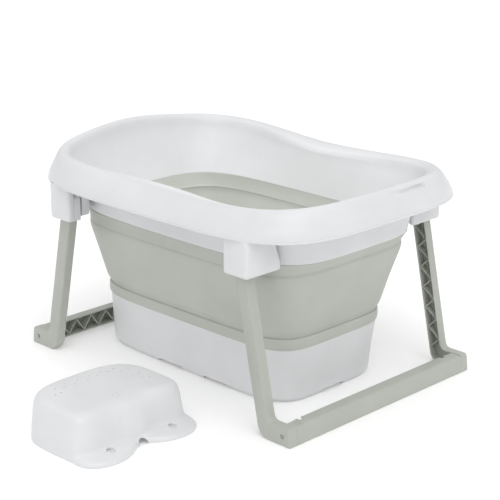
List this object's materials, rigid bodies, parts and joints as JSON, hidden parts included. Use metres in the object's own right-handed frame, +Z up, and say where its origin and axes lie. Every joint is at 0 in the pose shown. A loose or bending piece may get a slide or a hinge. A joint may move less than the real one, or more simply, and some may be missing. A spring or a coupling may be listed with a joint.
{
  "type": "baby bathtub",
  "caption": "Collapsible baby bathtub with a white rim, soft green folding wall and base pan, standing on folding leg frames, with a loose seat beside it.",
  "frame": {"origin": "on the floor, on the flat support foot under the middle of the base pan, midway between the two leg frames", "axes": "+Z up, +X along the tub towards the low foot end, +Y across the tub, so the loose seat stands at -Y"},
  "size_m": [0.7504, 0.8612, 0.4424],
  "materials": {
    "white_plastic": "satin moulded polypropylene",
    "green_plastic": "satin moulded polypropylene",
    "green_soft": "matte thermoplastic elastomer",
    "cup_soft": "soft translucent elastomer",
    "steel": "plain"
  },
  "bodies": {
    "rim": {"rim_shell": "white_plastic", "leg_socket_front_right": "white_plastic", "leg_socket_front_left": "white_plastic", "leg_socket_back_right": "white_plastic", "leg_socket_back_left": "white_plastic", "hinge_pins": "steel", "wall_collar_upper": "green_soft", "wall_fold_panel": "green_soft"},
    "base": {"base_pan": "white_plastic", "wall_collar_lower": "green_soft"},
    "front_frame": {"front_post_right": "green_plastic", "front_post_left": "green_plastic", "front_crossbar": "green_plastic", "front_frame_screws": "steel"},
    "back_frame": {"back_post_right": "green_plastic", "back_post_left": "green_plastic", "back_crossbar": "green_plastic", "back_frame_screws": "steel"},
    "plug": {"drain_plug": "green_soft"},
    "seat": {"seat_shell": "white_plastic", "seat_suction_cups": "cup_soft"}
  },
  "joints": [
    {"name": "base_lift", "type": "slide", "parent": "rim", "child": "base", "axis": [0, 0, 1], "range_m": [0, 0.26], "deforming": ["wall_fold_panel"]},
    {"name": "front_frame_fold", "type": "hinge", "parent": "rim", "child": "front_frame", "pos_m": [0.23616, 0, 0.337], "axis": [0, 1, 0], "range_deg": [0, 52]},
    {"name": "back_frame_fold", "type": "hinge", "parent": "rim", "child": "back_frame", "pos_m": [-0.23616, 0, 0.337], "axis": [0, -1, 0], "range_deg": [0, 52]},
    {"name": "plug_pull", "type": "slide", "parent": "base", "child": "plug", "axis": [0, 0, 1], "range_m": [0, 0.06]},
    {"name": "seat_lift", "type": "slide", "parent": "rim", "child": "seat", "axis": [0, 0, 1], "range_m": [0, 0.3]}
  ],
  "couplings": [
    {"joint": "front_frame_fold", "follows": "base_lift", "rad_per_m": 3.49},
    {"joint": "back_frame_fold", "follows": "base_lift", "rad_per_m": 3.49}
  ]
}
